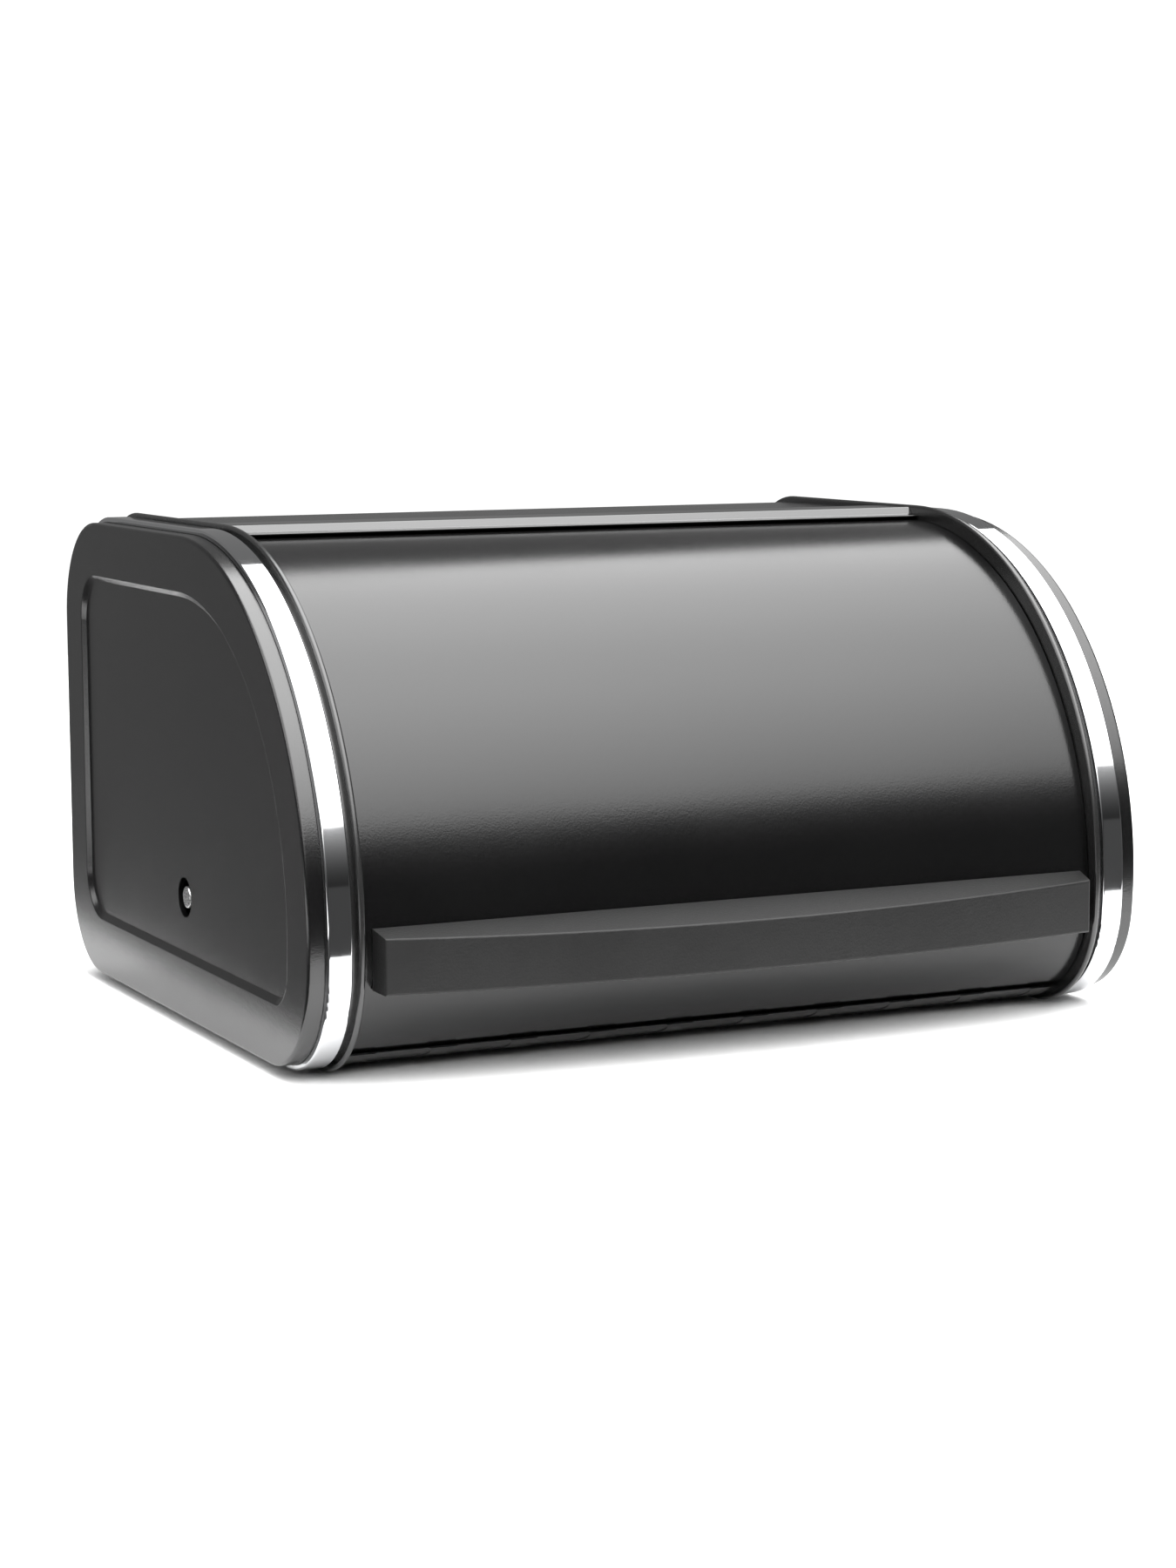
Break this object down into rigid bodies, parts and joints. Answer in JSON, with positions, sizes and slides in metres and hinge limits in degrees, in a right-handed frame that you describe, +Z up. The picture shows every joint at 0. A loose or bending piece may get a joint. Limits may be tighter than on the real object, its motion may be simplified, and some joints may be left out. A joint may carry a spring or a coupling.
{
  "type": "bread bin",
  "caption": "Roll-top bread bin: D-shaped ends with bright trim bands, a wrapped sheet body and a curved lid with a bowed full-width handle.",
  "frame": {"origin": "bottom centre of the bounding box, on the surface that the feet stand on", "axes": "+X to the right of someone who faces the lid, +Y to the back, +Z up"},
  "size_m": [0.342, 0.301, 0.1926],
  "materials": {
    "satin_sheet": "satin black lacquer on sheet steel",
    "lid_sheet": "satin-gloss black lacquer on sheet steel",
    "side_sheet": "satin black lacquer on pressed sheet",
    "cheek_sheet": "satin black lacquer",
    "gloss_strip": "gloss black lacquer",
    "chrome": "polished",
    "steel": "fine turned",
    "frame_plastic": "satin black moulding",
    "grip_plastic": "finely grained matte black",
    "rubber": "matte black",
    "nylon": "natural nylon"
  },
  "bodies": {
    "case": {"body_shell": "satin_sheet", "nose_trim": "gloss_strip", "body_rivets": "steel", "foot_pads": "rubber", "side_panel_left": "side_sheet", "end_frame_left": "frame_plastic", "chrome_trim_left": "chrome", "pivot_pin_left": "steel", "pin_clip_left": "steel", "panel_screws_left": "steel", "stop_buffers_left": "rubber", "side_panel_right": "side_sheet", "end_frame_right": "frame_plastic", "chrome_trim_right": "chrome", "pivot_pin_right": "steel", "pin_clip_right": "steel", "panel_screws_right": "steel", "stop_buffers_right": "rubber"},
    "lid": {"roll_lid": "lid_sheet", "lid_handle": "grip_plastic", "handle_screws": "steel", "lid_cheek_left": "cheek_sheet", "pivot_bush_left": "nylon", "lid_cheek_right": "cheek_sheet", "pivot_bush_right": "nylon"}
  },
  "joints": [
    {"name": "lid_hinge", "type": "hinge", "parent": "case", "child": "lid", "pos_m": [0, 0.0044, 0.0505], "axis": [-1, 0, 0], "range_deg": [0, 80]}
  ]
}
